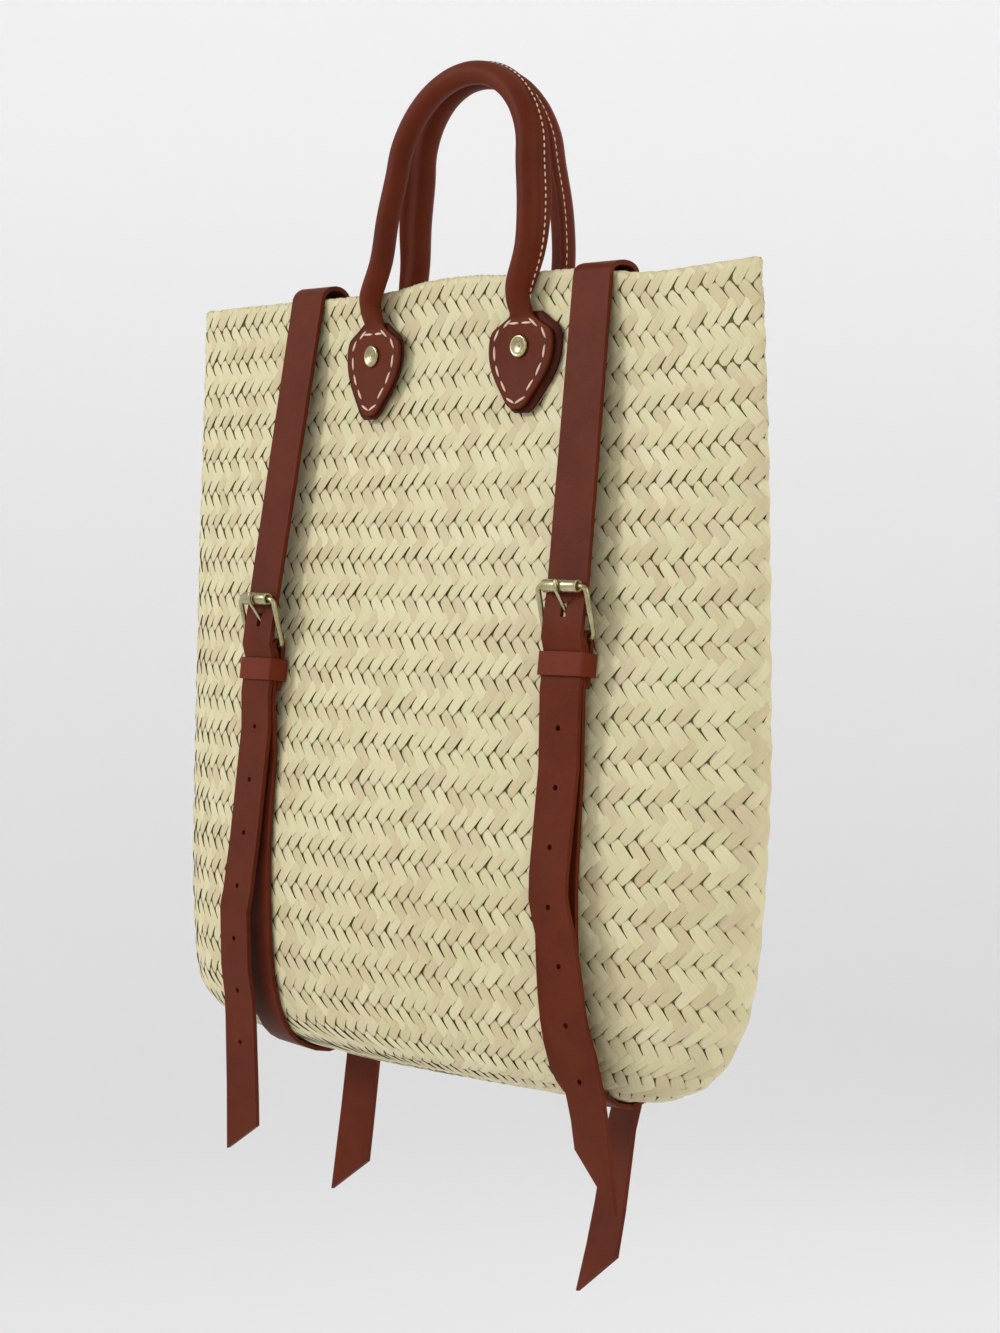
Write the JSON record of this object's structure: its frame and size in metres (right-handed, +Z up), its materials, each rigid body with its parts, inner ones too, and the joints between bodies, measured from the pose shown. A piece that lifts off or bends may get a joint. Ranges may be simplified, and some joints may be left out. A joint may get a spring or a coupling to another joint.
{
  "type": "woven straw backpack",
  "caption": "Tall flat straw basket backpack with rolled leather handles and buckled leather straps that run over its rim and under its base.",
  "frame": {"origin": "under the tops of both handle arches, where a hand or a hook carries the backpack", "axes": "+X along the width to the right seen from the front, +Y from the front face to the back face, +Z up"},
  "size_m": [0.428, 0.0979, 0.6185],
  "materials": {
    "straw": "dry woven palm leaf",
    "leather": "smooth waxed",
    "brass": "aged",
    "thread": "waxed cream thread"
  },
  "bodies": {
    "root": {"basket": "straw", "front_handle": "leather", "back_handle": "leather", "front_left_backing": "leather", "front_right_backing": "leather", "back_left_backing": "leather", "back_right_backing": "leather", "front_left_rivet": "brass", "front_right_rivet": "brass", "back_left_rivet": "brass", "back_right_rivet": "brass", "left_upper_strap": "leather", "right_upper_strap": "leather", "left_lower_strap": "leather", "right_lower_strap": "leather", "front_left_buckle_frame": "brass", "front_right_buckle_frame": "brass", "back_left_buckle_frame": "brass", "back_right_buckle_frame": "brass", "front_left_buckle_roller": "brass", "front_right_buckle_roller": "brass", "back_left_buckle_roller": "brass", "back_right_buckle_roller": "brass", "front_left_buckle_prong": "brass", "front_right_buckle_prong": "brass", "back_left_buckle_prong": "brass", "back_right_buckle_prong": "brass", "front_left_keeper": "leather", "front_right_keeper": "leather", "back_left_keeper": "leather", "back_right_keeper": "leather"}
  },
  "joints": []
}
